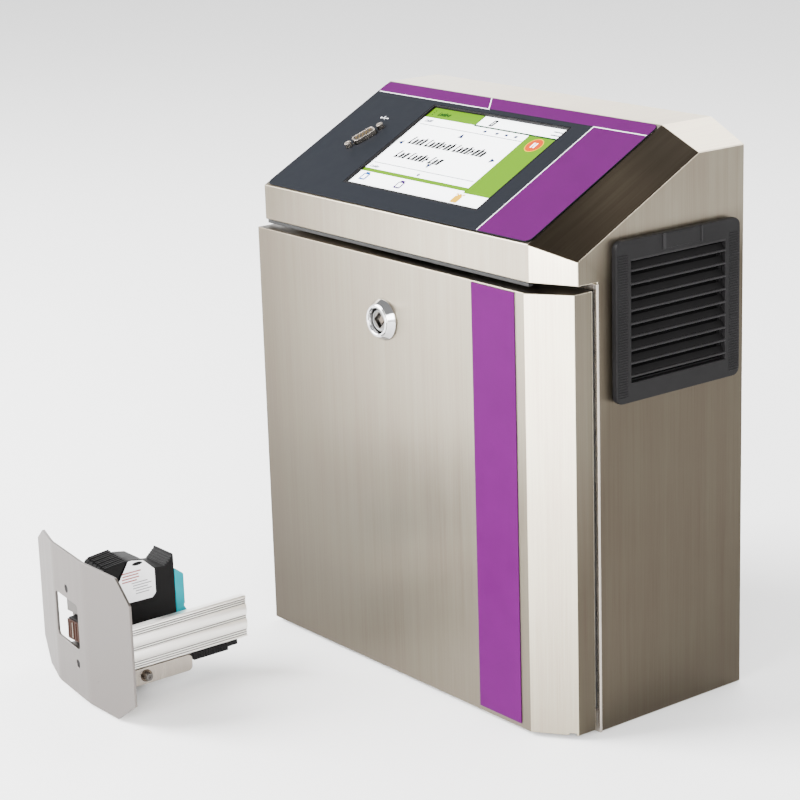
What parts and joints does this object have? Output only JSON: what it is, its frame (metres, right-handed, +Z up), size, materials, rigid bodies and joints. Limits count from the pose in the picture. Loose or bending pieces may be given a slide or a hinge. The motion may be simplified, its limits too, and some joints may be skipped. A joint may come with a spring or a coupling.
{
  "type": "date code inkjet printer",
  "caption": "Stainless cabinet with a sloped operator panel and drop-down door, and a cartridge print head on a grooved rail that prints date codes on passing packs",
  "frame": {"origin": "middle of the cabinet's underside", "axes": "+X to the cabinet's right, +Y to its back, +Z up; the operator stands at -Y"},
  "size_m": [0.3688, 0.358, 0.3882],
  "materials": {
    "steel": "vertical brushed stainless sheet",
    "bright_steel": "bright stainless",
    "chrome": "polished plating",
    "zinc": "dull machined or zinc plated steel",
    "aluminium": "satin anodised",
    "overlay": "slate and purple printed film",
    "purple_film": "printed film",
    "black_plastic": "fine textured black",
    "black_rubber": "matt black rubber",
    "screen": "lit touch display",
    "copper": "copper coloured nozzle face",
    "teal": "teal moulding",
    "board": "green circuit board",
    "fibre": "pressed filter fibre",
    "terminals": "grey terminal housings"
  },
  "bodies": {
    "cabinet": {"housing": "steel", "back_plate": "steel", "door_frame": "bright_steel", "door_gasket": "black_rubber", "hinge_bracket_left": "zinc", "hinge_pin_left": "chrome", "hinge_bracket_right": "zinc", "hinge_pin_right": "chrome", "panel_overlay": "overlay", "display_frame": "black_rubber", "touch_screen": "screen", "display_module": "zinc", "data_connector": "bright_steel", "jackscrew_upper": "bright_steel", "jackscrew_lower": "bright_steel", "vent_frame": "black_plastic", "vent_pin_front": "zinc", "vent_pin_rear": "zinc", "filter_mat": "fibre", "fan_housing": "black_plastic", "mounting_plate": "zinc", "controller_board": "board", "power_supply": "aluminium", "terminal_strip": "terminals", "power_inlet": "black_plastic", "switch_frame": "black_plastic", "head_socket": "bright_steel", "sensor_socket": "bright_steel", "encoder_socket": "bright_steel", "face_plate": "zinc", "face_screw_upper": "zinc", "face_screw_lower": "zinc", "cartridge_holder": "zinc", "contact_board": "board", "head_foot": "zinc", "latch_pin": "chrome", "head_rail": "aluminium", "rail_bracket": "bright_steel", "clamp_screw": "zinc", "clamp_washer": "zinc", "rail_connector": "black_plastic"},
    "door_body": {"door": "steel", "door_stripe": "purple_film", "lock_escutcheon": "chrome", "lock_nut": "zinc"},
    "lock_body": {"lock_insert": "zinc", "lock_cam": "zinc"},
    "vent_body": {"vent_cover": "black_plastic"},
    "rotor_body": {"fan_rotor": "black_plastic"},
    "rocker_body": {"switch_rocker": "black_plastic"},
    "cartridge_body_unit": {"cartridge_body": "black_plastic", "cartridge_cap": "teal", "nozzle_plate": "copper"},
    "latch_body": {"latch_lever": "black_plastic"}
  },
  "joints": [
    {"name": "door_hinge", "type": "hinge", "parent": "cabinet", "child": "door_body", "pos_m": [0, -0.0825, 0.009], "axis": [1, 0, 0], "range_deg": [0, 40]},
    {"name": "lock_turn", "type": "hinge", "parent": "door_body", "child": "lock_body", "pos_m": [-0.01325, -0.0805, 0.256], "axis": [0, 1, 0], "range_deg": [0, 90]},
    {"name": "vent_hinge", "type": "hinge", "parent": "cabinet", "child": "vent_body", "pos_m": [0.1602, 0.0155, 0.224], "axis": [0, 1, 0], "range_deg": [0, 95]},
    {"name": "fan_spin", "type": "hinge", "parent": "cabinet", "child": "rotor_body", "pos_m": [0.135, 0.0155, 0.275], "axis": [1, 0, 0], "continuous": true},
    {"name": "switch_rock", "type": "hinge", "parent": "cabinet", "child": "rocker_body", "pos_m": [-0.1555, 0.0435, 0.096], "axis": [0, -1, 0], "range_deg": [0, 14]},
    {"name": "cartridge_slide", "type": "slide", "parent": "cabinet", "child": "cartridge_body_unit", "axis": [0, 1, 0], "range_m": [0, 0.03]},
    {"name": "latch_hinge", "type": "hinge", "parent": "cabinet", "child": "latch_body", "pos_m": [-0.13275, -0.2555, 0.08], "axis": [1, 0, 0], "range_deg": [0, 60]}
  ]
}
